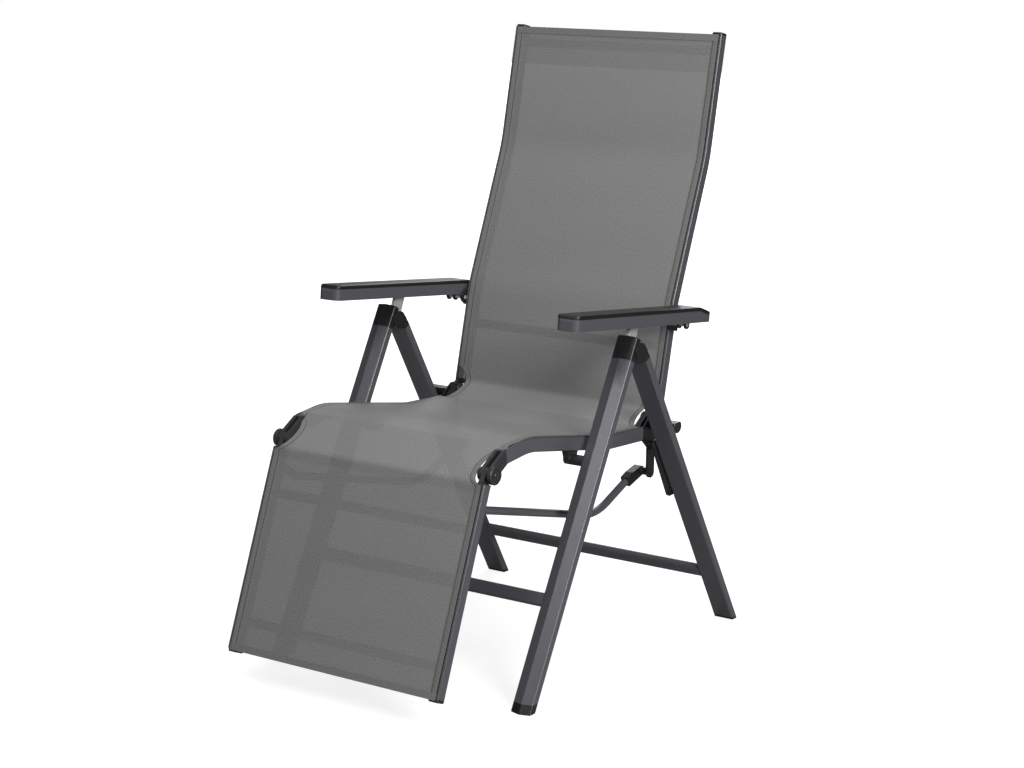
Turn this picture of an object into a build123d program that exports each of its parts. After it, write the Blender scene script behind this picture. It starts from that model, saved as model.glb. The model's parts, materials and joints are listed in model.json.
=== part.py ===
"""Reclining garden armchair with a footrest: folding legs and a sling seat, back and footrest."""
import os
from math import atan2, cos, hypot, radians, sin

from build123d import *

os.makedirs("parts", exist_ok=True)

# Frame: +X to the sitter's left, -Y to the front, +Z up, origin on the floor in the middle of the chair.
# A point of the side view is (y, z). Everything is drawn on the +X side and mirrored to the other one.

# Side view: pivots and ends
hub_y = 68.5
hub_z = 569.0
seat_pivot_y = -41.5
seat_pivot_z = 390.0
back_pivot_y = 204.5
back_pivot_z = 418.0
foot_pivot_y = -285.0
foot_pivot_z = 412.0
arm_pivot_y = 249.5
arm_pivot_z = 588.5
lever_end_y = 202.5
lever_end_z = 319.0
strut_front_y = -306.0
strut_front_z = 364.0
link_seat_y = 194.5
link_seat_z = 372.0
link_leg_y = 242.5
link_leg_z = 278.0
notch_pin_y = 86.5
notch_pin_z = 613.0

# Legs
front_foot_y = -251.3
rear_foot_y = 407.3
front_leg_off = 17.7
rear_leg_off = 15.6
leg_in = 248.0
leg_wide = 41.0
leg_deep = 14.6
leg_ridge = 5.5
leg_round = 3.0
leg_wall = 1.5
front_foot_high = 16.0
rear_foot_high = 5.0
foot_chamfer = 1.0
leg_bar_tall = 24.0
leg_bar_thick = 14.0
leg_bar_round = 5.0
front_bar_z = 170.5
rear_bar_z = 103.0

# Hub knuckles
knuckle_r = 15.5
lug_wide = 23.0
cheek_wide = 6.8
front_cap_below = 14.6
front_cap_above = 28.0
rear_cap_below = 18.4
rear_collar = 7.0
cap_round = 2.0
hub_disc_r = 16.4
hub_disc_thick = 3.1
hub_bolt_r = 4.0

# Notch brackets
bracket_r = 12.5
bracket_in = 258.0
bracket_thick = 7.0
notch_pin_r = 3.0
notch_pin_long = 34.0

# Rails of seat, back and footrest
rail_in = 210.4
rail_wide = 20.0
rail_chamfer = 1.8
rail_wall = 1.5
seat_rail_tall = 25.0
seat_rail_front_y = -245.5
seat_rail_front_z = 434.5
seat_crown_y = -176.0
seat_crown_z = 442.5
seat_dip_y = 62.0
seat_dip_z = 401.0
seat_rail_rear_y = 169.5
seat_rail_rear_z = 396.0
seat_bend_r = 150.0
back_rail_low_y = 227.5
back_rail_low_z = 434.0
back_rail_top_y = 426.0
back_rail_top_z = 1094.0
back_knee_y = 271.5
back_knee_share = 3 / 11
back_shoulder_y = 376.0
back_shoulder_share = 73 / 110
back_bend_r = 300.0
back_cap_thick = 4.6
foot_tilt = 21.0
foot_rail_ahead = 6.3
foot_rail_start = 18.3
foot_rail_long = 358.0
foot_cap_thick = 5.5
end_cap_chamfer = 1.5
cross_r = 8.5
cross_wall = 1.5
back_low_bar_z = 540.0
back_top_bar_drop = 28.0
foot_high_bar = 96.0
foot_low_bar = 325.0

# Seat pivot
barrel_r = 9.5
barrel_long = 40.2
web_wide = 11.6
web_long = 34.0
pivot_bolt_r = 4.0
pivot_bolt_long = 30.0

# Front hinge
fork_r = 12.0
fork_cheek = 5.6
fork_plug = 6.0
foot_knuckle_r = 11.5
foot_plug_start = 16.9
knob_r = 16.0
knob_thick = 7.6
hinge_pin_r = 4.0
hinge_disc_r = 11.5
hinge_disc_thick = 3.0
knob_chamfer = 1.2

# Rear hinge, levers, links and stops
rear_fork_r = 12.0
rear_fork_plug = 4.5
lever_off = 11.6
lever_thick = 5.0
lever_half = 10.5
lever_root = 14.0
lever_root_half = 8.0
back_plug = 10.0
lever_boss_r = 7.0
strut_rivet_r = 3.0
rivet_head_r = 6.0
rivet_head_thick = 2.4
link_in = 239.3
link_thick = 4.7
link_half = 9.5
link_pin_r = 3.0
link_lug_r = 9.0
link_boss_r = 7.0
stop_r = 12.5
stop_long = 52.6
stop_z = 411.0
stop_flat = 7.0

# Struts
strut_mid = 199.0
strut_r = 7.0
strut_low_y = 63.5
strut_low_z = 263.7
strut_nose_y = -285.5
strut_nose_z = 348.5
strut_tail_y = 176.5
strut_tail_z = 312.4
strut_bend_r = 120.0
strut_eye_thick = 6.0
strut_eye_r = 7.0
strut_spacer_r = 7.0
fitting_wide = 15.6
fitting_long = 36.0
fitting_half = 9.0

# Armrests
arm_in = 238.2
arm_wide = 46.6
arm_slope = 5.9
arm_ahead = 373.0
arm_behind = 61.3
arm_high = 20.5
arm_tail_high = 9.0
arm_tail_long = 42.0
arm_rise = 4.7
arm_wall = 1.6
arm_end_wall = 9.0
arm_nose_r = 11.0
arm_tail_r = 5.0
arm_corner_r = 13.0
pad_thick = 7.0
pad_round = 2.5
rack_wide = 12.0
rack_base = 3.0
rack_clear = 9.4
notch_pitch = 12.3
notch_count = 7
rack_lead = 14.0
arm_lug_wide = 3.0
arm_lug_r = 8.0
arm_lug_gap = 12.0
arm_pin_r = 3.8
arm_bracket_thick = 5.6
arm_bracket_r = 9.5
arm_bracket_long = 34.0

# Sling cloth
cloth_thick = 1.2
cloth_edge = 3.4
seat_cloth_front = 14.0
seat_cloth_rear = 12.0
back_cloth_low = 26.0
back_cloth_top = 6.0
foot_cloth_low = 6.0

# Clearances
overrun = 40.0
gap = 0.3
run = 0.05

# Worked out from the sizes above
leg_mid = leg_in + leg_wide / 2
leg_out = leg_in + leg_wide
rail_mid = rail_in + rail_wide / 2
rail_out = rail_in + rail_wide
lug_in = leg_mid - lug_wide / 2
lug_out = leg_mid + lug_wide / 2
lever_in = rail_in + lever_off
lever_out = lever_in + lever_thick
strut_out = strut_mid + strut_r
fitting_in = strut_mid - fitting_wide / 2
fitting_out = strut_mid + fitting_wide / 2
back_rail_rise = back_rail_top_z - back_rail_low_z
back_knee_z = back_rail_low_z + back_knee_share * back_rail_rise
back_shoulder_z = back_rail_low_z + back_shoulder_share * back_rail_rise
back_top_bar_z = back_rail_top_z - back_top_bar_drop


def side(x=0.0):
    """Plane of the side view at x: its first axis is +Y and its second is +Z."""
    return Plane.YZ.offset(x)


def axis_at(y, z, x):
    """Plane square to X at a pivot, for pins and holes along X."""
    return Plane(origin=(x, y, z), x_dir=(0, 1, 0), z_dir=(1, 0, 0))


def along(y0, z0, y1, z1):
    """Plane at the first point, square to the way to the second: its first axis is +X."""
    return Plane(origin=(0, y0, z0), x_dir=(1, 0, 0), z_dir=(0, y1 - y0, z1 - z0))


def pair(part, label):
    """The +X piece and its mirror image as two separate solids under one name."""
    both = Compound(children=[part, mirror(part, about=Plane.YZ)])
    both.label = label
    return both


def save(part, label):
    part.label = label
    export_step(part, f"parts/{label}.step")


def save_sides(part, stem):
    """Writes the +X piece as the left one of the sitter and its mirror image as the right one."""
    save(part, f"{stem}_left")
    save(mirror(part, about=Plane.YZ), f"{stem}_right")


def save_pair(part, label):
    save(pair(part, label), label)


front_top_y = hub_y - front_leg_off
rear_top_y = hub_y + rear_leg_off
front_long = hypot(front_top_y - front_foot_y, hub_z)
rear_long = hypot(rear_top_y - rear_foot_y, hub_z)
front_plane = along(front_foot_y, 0, front_top_y, hub_z)
rear_plane = along(rear_foot_y, 0, rear_top_y, hub_z)


def leg_outline(plane, ridge_way, start, hollow):
    """Section of a leg: a flat tube with a low roof ridge, on the front side (-1) or the back side (1)."""
    with BuildSketch(plane.offset(start)) as outline:
        with BuildLine():
            Polyline(
                (leg_in, -ridge_way * leg_deep / 2),
                (leg_out, -ridge_way * leg_deep / 2),
                (leg_out, ridge_way * leg_deep / 2),
                (leg_mid, ridge_way * (leg_deep / 2 + leg_ridge)),
                (leg_in, ridge_way * leg_deep / 2),
                close=True,
            )
        make_face()
        fillet(outline.vertices(), leg_round)
        if hollow:
            offset(amount=-leg_wall, mode=Mode.SUBTRACT)
    return outline.sketch


def leg_tube(plane, ridge_way, top, foot_high):
    with BuildPart() as tube:
        extrude(leg_outline(plane, ridge_way, -overrun, True), amount=top + overrun, dir=plane.z_dir)
        split(bisect_by=Plane.XY.offset(foot_high), keep=Keep.TOP)
    return tube.part


def leg_foot(plane, ridge_way, foot_high):
    """Plastic plug on the leg's end, cut level with the floor."""
    with BuildPart() as foot:
        extrude(leg_outline(plane, ridge_way, -overrun, False), amount=overrun + overrun, dir=plane.z_dir)
        split(bisect_by=Plane.XY.offset(foot_high), keep=Keep.BOTTOM)
        split(bisect_by=Plane.XY, keep=Keep.TOP)
        chamfer(foot.faces().sort_by(Axis.Z)[0].edges(), foot_chamfer)
    return foot.part


def leg_bar(plane, z):
    """Flat cross tube between the inner faces of a pair of legs."""
    place = plane.origin + plane.z_dir * (z / plane.z_dir.Z)
    section = Plane(origin=(-leg_in, place.Y, place.Z), x_dir=plane.z_dir, z_dir=(1, 0, 0))
    with BuildPart() as bar:
        with BuildSketch(section):
            RectangleRounded(leg_bar_tall, leg_bar_thick, leg_bar_round)
            Rectangle(leg_bar_tall - leg_bar_round, leg_bar_thick - leg_bar_round, mode=Mode.SUBTRACT)
        extrude(amount=2 * leg_in)
    return bar.part


save_sides(leg_tube(front_plane, -1, front_long - front_cap_below, front_foot_high), "front_leg")
save_sides(leg_tube(rear_plane, 1, rear_long - rear_cap_below, rear_foot_high), "rear_leg")
save_pair(leg_foot(front_plane, -1, front_foot_high), "front_feet")
save_pair(leg_foot(rear_plane, 1, rear_foot_high), "rear_feet")
save(leg_bar(front_plane, front_bar_z), "front_crossbar")
save(leg_bar(rear_plane, rear_bar_z), "rear_crossbar")


def leg_point(plane, distance, across):
    """A point of the side view, at a distance up a leg and across it to the back."""
    spot = plane.origin + plane.z_dir * distance + plane.y_dir * across
    return (spot.Y, spot.Z)


def leg_stretch(plane, low, high):
    """Corners of a stretch of a leg in the side view, without its ridge."""
    half = leg_deep / 2
    return [
        leg_point(plane, low, -half),
        leg_point(plane, low, half),
        leg_point(plane, high, half),
        leg_point(plane, high, -half),
    ]


# Front caps: a full block over the leg's end, with the middle lug of the hub
with BuildPart() as front_cap:
    block = leg_outline(front_plane, -1, front_long - front_cap_below, False)
    extrude(block, amount=front_cap_below + front_cap_above, dir=front_plane.z_dir)
    fillet(front_cap.faces().sort_by(Axis(front_plane.origin, front_plane.z_dir))[-1].edges(), cap_round)
    with BuildSketch(axis_at(hub_y, hub_z, leg_in - overrun)):
        Circle(hub_disc_r + gap)
    extrude(amount=leg_wide + overrun + overrun, mode=Mode.SUBTRACT)
    with BuildSketch(side(lug_in)):
        with Locations((hub_y, hub_z)):
            Circle(knuckle_r)
        with BuildLine():
            cap_stretch = leg_stretch(front_plane, front_long - front_cap_below, front_long + knuckle_r)
            Polyline(*cap_stretch, close=True)
        make_face()
        make_hull()
    extrude(amount=lug_wide)
    with BuildSketch(axis_at(hub_y, hub_z, leg_in - overrun)):
        Circle(hub_bolt_r)
    extrude(amount=leg_wide + overrun + overrun, mode=Mode.SUBTRACT)
save_pair(front_cap.part, "front_leg_caps")

# Rear caps: a short collar on the leg's end and two cheeks beside the front lug
with BuildPart() as rear_cap:
    for cheek_in in (lug_in - gap - cheek_wide, lug_out + gap):
        with BuildSketch(side(cheek_in)):
            with Locations((hub_y, hub_z)):
                Circle(knuckle_r)
            with BuildLine():
                Polyline(*leg_stretch(rear_plane, rear_long - rear_cap_below, rear_long - gap), close=True)
            make_face()
            make_hull()
        extrude(amount=cheek_wide)
    collar = leg_outline(rear_plane, 1, rear_long - rear_cap_below, False)
    extrude(collar, amount=rear_collar, dir=rear_plane.z_dir)
    with BuildSketch(axis_at(hub_y, hub_z, lug_in - gap)):
        Circle(knuckle_r + gap)
    extrude(amount=lug_wide + 2 * gap, mode=Mode.SUBTRACT)
    with BuildSketch(axis_at(hub_y, hub_z, leg_in - overrun)):
        Circle(hub_bolt_r + run)
    extrude(amount=leg_wide + overrun + overrun, mode=Mode.SUBTRACT)
save_pair(rear_cap.part, "rear_leg_caps")

hub_face_in = lug_in - 2 * gap - cheek_wide
hub_face_out = lug_out + 2 * gap + cheek_wide
with BuildPart() as hub_bolt:
    with BuildSketch(axis_at(hub_y, hub_z, hub_face_in)):
        Circle(hub_bolt_r)
    extrude(amount=hub_face_out - hub_face_in)
    with BuildSketch(axis_at(hub_y, hub_z, hub_face_out)):
        Circle(hub_disc_r)
    extrude(amount=hub_disc_thick)
    with BuildSketch(axis_at(hub_y, hub_z, hub_face_in - hub_disc_thick)):
        Circle(hub_disc_r)
    extrude(amount=hub_disc_thick)
save_pair(hub_bolt.part, "hub_bolts")

# Notch brackets: steel straps that stand up from the hubs into the armrests
with BuildPart() as notch_bracket:
    with BuildSketch(side(bracket_in)):
        with Locations((hub_y, hub_z), (notch_pin_y, notch_pin_z)):
            Circle(bracket_r)
        make_hull()
        with BuildSketch(side(bracket_in), mode=Mode.SUBTRACT):
            with Locations((hub_y, hub_z)):
                Circle(knuckle_r)
            with BuildLine():
                slot_stretch = leg_stretch(front_plane, front_long - overrun, front_long + front_cap_above)
                Polyline(*slot_stretch, close=True)
            make_face()
            make_hull()
        with Locations((notch_pin_y, notch_pin_z)):
            Circle(notch_pin_r, mode=Mode.SUBTRACT)
    extrude(amount=bracket_thick)
save_pair(notch_bracket.part, "notch_brackets")

bracket_mid = bracket_in + bracket_thick / 2
with BuildPart() as notch_pin:
    with BuildSketch(axis_at(notch_pin_y, notch_pin_z, bracket_mid - notch_pin_long / 2)):
        Circle(notch_pin_r)
    extrude(amount=notch_pin_long)
save_pair(notch_pin.part, "notch_pins")


# Seat rails, with the crown in front and the dip behind
seat_path_points = [
    (0, seat_rail_front_y, seat_rail_front_z),
    (0, seat_crown_y, seat_crown_z),
    (0, seat_dip_y, seat_dip_z),
    (0, seat_rail_rear_y, seat_rail_rear_z),
]
back_path_points = [
    (0, back_rail_low_y, back_rail_low_z),
    (0, back_knee_y, back_knee_z),
    (0, back_shoulder_y, back_shoulder_z),
    (0, back_rail_top_y, back_rail_top_z),
]


def path_start(points):
    """Plane at the path's first point, square to it: its first axis is +X."""
    (_, y0, z0), (_, y1, z1) = points[0], points[1]
    return along(y0, z0, y1, z1)


def bent_tube(points, bend_r, across, high, wall):
    """Rectangular tube at rail_mid along a bent path of the side view."""
    with BuildPart() as tube:
        with BuildLine() as path:
            FilletPolyline(*points, radius=bend_r)
        with BuildSketch(path_start(points)) as section:
            with Locations((rail_mid, 0)):
                Rectangle(across, high)
            chamfer(section.vertices(), rail_chamfer)
            with Locations((rail_mid, 0)):
                Rectangle(across - 2 * wall, high - 2 * wall, mode=Mode.SUBTRACT)
        sweep(path=path.wires()[0])
    return tube.part


save_sides(bent_tube(seat_path_points, seat_bend_r, rail_wide, seat_rail_tall, rail_wall), "seat_rail")
save_sides(bent_tube(back_path_points, back_bend_r, rail_wide, rail_wide, rail_wall), "back_rail")

# Footrest frame: its plane runs down from the front hinge, and its second axis points forward
foot_drop = (0, -sin(radians(foot_tilt)), -cos(radians(foot_tilt)))
foot_plane = Plane(origin=(0, foot_pivot_y, foot_pivot_z), x_dir=(1, 0, 0), z_dir=foot_drop)
with BuildPart() as foot_rail:
    with BuildSketch(foot_plane.offset(foot_rail_start)) as section:
        with Locations((rail_mid, foot_rail_ahead)):
            Rectangle(rail_wide, rail_wide)
        chamfer(section.vertices(), rail_chamfer)
        with Locations((rail_mid, foot_rail_ahead)):
            Rectangle(rail_wide - 2 * rail_wall, rail_wide - 2 * rail_wall, mode=Mode.SUBTRACT)
    extrude(amount=foot_rail_long)
save_sides(foot_rail.part, "foot_rail")


def end_cap(plane, ahead, thick):
    """Plastic cap over a square rail's end, bevelled on its outer edges."""
    with BuildPart() as cap:
        with BuildSketch(plane) as section:
            with Locations((rail_mid, ahead)):
                Rectangle(rail_wide, rail_wide)
            chamfer(section.vertices(), rail_chamfer)
        extrude(amount=thick)
        chamfer(cap.faces().sort_by(Axis(plane.origin, plane.z_dir))[-1].edges(), end_cap_chamfer)
    return cap.part


back_top_way = along(back_shoulder_y, back_shoulder_z, back_rail_top_y, back_rail_top_z)
back_top_plane = Plane(
    origin=(0, back_rail_top_y, back_rail_top_z), x_dir=(1, 0, 0), z_dir=back_top_way.z_dir
)
save_pair(end_cap(back_top_plane, 0, back_cap_thick), "back_caps")
foot_end = foot_rail_start + foot_rail_long
save_pair(end_cap(foot_plane.offset(foot_end), foot_rail_ahead, foot_cap_thick), "foot_caps")


def cross_tube(y, z):
    """Round cross tube between the inner faces of the rails."""
    with BuildPart() as tube:
        with BuildSketch(axis_at(y, z, -rail_in)):
            Circle(cross_r)
            Circle(cross_r - cross_wall, mode=Mode.SUBTRACT)
        extrude(amount=2 * rail_in)
    return tube.part


def between(p, q, z):
    """The y of the straight line from p to q at height z."""
    return p[0] + (q[0] - p[0]) * (z - p[1]) / (q[1] - p[1])


back_low = (back_rail_low_y, back_rail_low_z)
back_knee = (back_knee_y, back_knee_z)
back_shoulder = (back_shoulder_y, back_shoulder_z)
back_top = (back_rail_top_y, back_rail_top_z)
save(cross_tube(between(back_low, back_knee, back_low_bar_z), back_low_bar_z), "back_crossbar_lower")
save(cross_tube(between(back_shoulder, back_top, back_top_bar_z), back_top_bar_z), "back_crossbar_upper")


def foot_point(down, ahead):
    """Side view point of the footrest: down from its hinge and ahead of it."""
    spot = foot_plane.origin + foot_plane.z_dir * down + foot_plane.y_dir * ahead
    return (spot.Y, spot.Z)


save(cross_tube(*foot_point(foot_high_bar, foot_rail_ahead)), "foot_crossbar_upper")
save(cross_tube(*foot_point(foot_low_bar, foot_rail_ahead)), "foot_crossbar_lower")


def path_point(start, toward, distance, across):
    """Side view point on the line from start toward another point, and square to it."""
    way = hypot(toward[0] - start[0], toward[1] - start[1])
    ey = (toward[0] - start[0]) / way
    ez = (toward[1] - start[1]) / way
    return (start[0] + ey * distance - ez * across, start[1] + ez * distance + ey * across)


def web(x, width, *corners, circles=()):
    """Plate square to X: the hull of its circles (y, z, radius) and the corners of the face it grows from."""
    with BuildPart() as plate:
        with BuildSketch(side(x)):
            for y, z, r in circles:
                with Locations((y, z)):
                    Circle(r)
            if corners:
                with BuildLine():
                    Polyline(*corners, close=True)
                make_face()
            make_hull()
        extrude(amount=width)
    return plate.part


def pin(y, z, r, x, length):
    with BuildPart() as rod:
        with BuildSketch(axis_at(y, z, x)):
            Circle(r)
        extrude(amount=length)
    return rod.part


# Seat pivot: a barrel under each rail, on a bolt from the front leg
seat_crown = (seat_crown_y, seat_crown_z)
seat_dip = (seat_dip_y, seat_dip_z)
under_z = between((seat_crown_z, seat_crown_y), (seat_dip_z, seat_dip_y), seat_pivot_y)
seat_slope = atan2(seat_dip_z - seat_crown_z, seat_dip_y - seat_crown_y)
under_rail = under_z - seat_rail_tall / 2 / cos(seat_slope)
web_top = [
    (seat_pivot_y - web_long / 2, under_rail - web_long / 2 * sin(seat_slope)),
    (seat_pivot_y + web_long / 2, under_rail + web_long / 2 * sin(seat_slope)),
    (seat_pivot_y + web_long / 2, under_rail + web_long / 2 * sin(seat_slope) + rail_wall / 2),
    (seat_pivot_y - web_long / 2, under_rail - web_long / 2 * sin(seat_slope) + rail_wall / 2),
]
seat_rail_solid = bent_tube(seat_path_points, seat_bend_r, rail_wide, seat_rail_tall, rail_wall)
barrel_in = leg_in - gap - barrel_long
with BuildPart() as seat_bracket:
    add(web(rail_in, web_wide, *web_top, circles=[(seat_pivot_y, seat_pivot_z, barrel_r)]))
    add(seat_rail_solid, mode=Mode.SUBTRACT)
    add(pin(seat_pivot_y, seat_pivot_z, barrel_r, barrel_in, barrel_long))
    chamfer(seat_bracket.faces().sort_by(Axis.X)[0].edges(), knob_chamfer)
    with BuildSketch(axis_at(seat_pivot_y, seat_pivot_z, leg_in - pivot_bolt_long - gap)):
        Circle(pivot_bolt_r + run)
    extrude(amount=pivot_bolt_long + gap, mode=Mode.SUBTRACT)
save_pair(seat_bracket.part, "seat_pivot_brackets")
seat_bolt = pin(seat_pivot_y, seat_pivot_z, pivot_bolt_r, leg_in - pivot_bolt_long, pivot_bolt_long)
save_pair(seat_bolt, "seat_pivot_bolts")


def end_block(start, toward, low, high, half):
    """Corners of a stretch of a rail in the side view, counted from its start."""
    return [
        path_point(start, toward, low, -half),
        path_point(start, toward, low, half),
        path_point(start, toward, high, half),
        path_point(start, toward, high, -half),
    ]


# Front hinge: a fork on the seat rail, a knuckle on the footrest rail and a bolt with a round knob
seat_front = (seat_rail_front_y, seat_rail_front_z)
seat_rear = (seat_rail_rear_y, seat_rail_rear_z)
front_block = end_block(seat_front, seat_crown, -fork_plug, 0, seat_rail_tall / 2)
front_eye = [(foot_pivot_y, foot_pivot_z, fork_r)]
with BuildPart() as front_fork:
    add(web(rail_in, rail_wide, *front_block))
    add(web(rail_in, fork_cheek, *front_block, circles=front_eye))
    add(web(rail_out - fork_cheek, fork_cheek, *front_block, circles=front_eye))
    with BuildSketch(axis_at(foot_pivot_y, foot_pivot_z, rail_in)):
        Circle(hinge_pin_r + run)
    extrude(amount=rail_wide, mode=Mode.SUBTRACT)
save_pair(front_fork.part, "seat_front_forks")

half_rail = rail_wide / 2
foot_block = [
    foot_point(foot_plug_start, foot_rail_ahead - half_rail),
    foot_point(foot_plug_start, foot_rail_ahead + half_rail),
    foot_point(foot_rail_start, foot_rail_ahead + half_rail),
    foot_point(foot_rail_start, foot_rail_ahead - half_rail),
]
knuckle_in = rail_in + fork_cheek + gap
knuckle_wide = rail_wide - 2 * fork_cheek - 2 * gap
with BuildPart() as foot_knuckle:
    add(web(rail_in, rail_wide, *foot_block))
    add(web(knuckle_in, knuckle_wide, *foot_block, circles=[(foot_pivot_y, foot_pivot_z, foot_knuckle_r)]))
    with BuildSketch(axis_at(foot_pivot_y, foot_pivot_z, rail_in)):
        Circle(hinge_pin_r + run)
    extrude(amount=rail_wide, mode=Mode.SUBTRACT)
save_pair(foot_knuckle.part, "foot_knuckles")

with BuildPart() as front_bolt:
    add(pin(foot_pivot_y, foot_pivot_z, hinge_pin_r, rail_in - gap, rail_wide + 2 * gap))
    add(pin(foot_pivot_y, foot_pivot_z, knob_r, rail_out + gap, knob_thick))
    chamfer(front_bolt.faces().sort_by(Axis.X)[-1].edges(), knob_chamfer)
    add(pin(foot_pivot_y, foot_pivot_z, hinge_disc_r, rail_in - gap - hinge_disc_thick, hinge_disc_thick))
save_pair(front_bolt.part, "front_hinge_bolts")

# Rear hinge: the seat's rear fork, the lever that carries the back, and the back's plug
rear_block = end_block(seat_rear, seat_dip, -rear_fork_plug, 0, seat_rail_tall / 2)
rear_eye = (back_pivot_y, back_pivot_z, rear_fork_r)
link_lug = (link_seat_y, link_seat_z, link_lug_r)
outer_cheek_in = lever_out + gap
with BuildPart() as rear_fork:
    add(web(rail_in, rail_wide, *rear_block))
    add(web(rail_in, lever_in - gap - rail_in, *rear_block, circles=[rear_eye]))
    add(web(outer_cheek_in, rail_out - outer_cheek_in, *rear_block, circles=[rear_eye, link_lug]))
    add(pin(link_seat_y, link_seat_z, link_boss_r, rail_out, link_in - gap - rail_out))
    with BuildSketch(axis_at(back_pivot_y, back_pivot_z, rail_in)):
        Circle(hinge_pin_r + run)
    extrude(amount=rail_wide, mode=Mode.SUBTRACT)
    with BuildSketch(axis_at(link_seat_y, link_seat_z, outer_cheek_in)):
        Circle(link_pin_r + run)
    extrude(amount=link_in - outer_cheek_in, mode=Mode.SUBTRACT)
save_pair(rear_fork.part, "seat_rear_forks")

lever_top = (back_pivot_y, back_pivot_z, lever_half)
lever_end = (lever_end_y, lever_end_z, lever_half)
lever_neck = end_block(back_low, back_knee, -gap, 0, lever_root_half)
lever_tongue = end_block(back_low, back_knee, -gap, lever_root, lever_root_half)
with BuildPart() as lever:
    add(web(lever_in, lever_thick, circles=[lever_top, lever_end]))
    add(web(lever_in, lever_thick, *lever_neck, circles=[lever_top]))
    add(web(lever_in, lever_thick, *lever_tongue))
lever_plate = lever.part
with BuildPart() as back_lever:
    add(lever_plate)
    add(pin(lever_end_y, lever_end_z, lever_boss_r, fitting_out + gap, lever_in - fitting_out - gap))
    with BuildSketch(axis_at(back_pivot_y, back_pivot_z, lever_in)):
        Circle(hinge_pin_r + run)
    extrude(amount=lever_thick, mode=Mode.SUBTRACT)
    with BuildSketch(axis_at(lever_end_y, lever_end_z, fitting_out)):
        Circle(strut_rivet_r + run)
    extrude(amount=lever_out - fitting_out, mode=Mode.SUBTRACT)
save_pair(back_lever.part, "back_levers")

with BuildPart() as back_plug_part:
    add(web(rail_in, rail_wide, *end_block(back_low, back_knee, -back_plug, 0, half_rail)))
    add(lever_plate, mode=Mode.SUBTRACT)
save_pair(back_plug_part.part, "back_plugs")

with BuildPart() as rear_pin:
    add(pin(back_pivot_y, back_pivot_z, hinge_pin_r, rail_in - gap, rail_wide))
    add(pin(back_pivot_y, back_pivot_z, hinge_disc_r, rail_in - gap - hinge_disc_thick, hinge_disc_thick))
    chamfer(rear_pin.faces().sort_by(Axis.X)[0].edges(), knob_chamfer)
save_pair(rear_pin.part, "rear_hinge_pins")

# Stops: the rear legs lean on them when the chair stands open
stop_off = leg_deep / 2 + leg_ridge + gap + stop_r
stop_y = between((rear_foot_y, 0), (rear_top_y, hub_z), stop_z) + stop_off / rear_plane.y_dir.Y
with BuildPart() as stop:
    with BuildSketch(side(rail_out)):
        with Locations((stop_y, stop_z)):
            Circle(stop_r)
            with Locations((0, stop_flat + stop_r)):
                Rectangle(4 * stop_r, 2 * stop_r, mode=Mode.SUBTRACT)
    extrude(amount=stop_long)
    chamfer(stop.faces().sort_by(Axis.X)[-1].edges(), knob_chamfer)
save_pair(stop.part, "leg_stops")

# Side links between the seat's rear end and the rear legs
with BuildPart() as side_link:
    with BuildSketch(side(link_in)):
        with Locations((link_seat_y, link_seat_z), (link_leg_y, link_leg_z)):
            Circle(link_half)
        make_hull()
        with Locations((link_seat_y, link_seat_z), (link_leg_y, link_leg_z)):
            Circle(link_pin_r, mode=Mode.SUBTRACT)
    extrude(amount=link_thick)
save_pair(side_link.part, "side_links")

link_out = link_in + link_thick
with BuildPart() as link_rivet:
    add(pin(link_seat_y, link_seat_z, link_pin_r, outer_cheek_in, link_out - outer_cheek_in))
    add(pin(link_seat_y, link_seat_z, rivet_head_r, link_out, rivet_head_thick))
save_pair(link_rivet.part, "link_rivets_seat")
with BuildPart() as leg_rivet:
    add(pin(link_leg_y, link_leg_z, link_pin_r, link_in, link_thick))
    add(pin(link_leg_y, link_leg_z, rivet_head_r, link_in - rivet_head_thick, rivet_head_thick))
save_pair(leg_rivet.part, "link_rivets_leg")
save_pair(pin(link_leg_y, link_leg_z, link_boss_r, link_out + gap, leg_in - link_out - gap), "link_bosses")

# Struts: bent round bars from the levers to the footrest
strut_points = [
    (0, strut_nose_y, strut_nose_z),
    (0, strut_low_y, strut_low_z),
    (0, strut_tail_y, strut_tail_z),
]
with BuildPart() as strut:
    with BuildLine() as strut_line:
        FilletPolyline(*strut_points, radius=strut_bend_r)
    with BuildSketch(path_start(strut_points)):
        with Locations((strut_mid, 0)):
            Circle(strut_r)
    sweep(path=strut_line.wires()[0])
    with BuildSketch(side(strut_out - strut_eye_thick)):
        with Locations((strut_front_y, strut_front_z)):
            Circle(strut_eye_r)
        with Locations((strut_nose_y, strut_nose_z)):
            Circle(strut_r)
        make_hull()
    extrude(amount=strut_eye_thick)
save_sides(strut.part, "strut")
strut_head_in = strut_out - strut_eye_thick - rivet_head_thick
save_pair(
    pin(strut_front_y, strut_front_z, rivet_head_r, strut_head_in, rivet_head_thick),
    "strut_front_rivets",
)
save_pair(
    pin(strut_front_y, strut_front_z, strut_spacer_r, strut_out + gap, rail_in - strut_out - gap),
    "strut_spacers",
)

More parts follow.
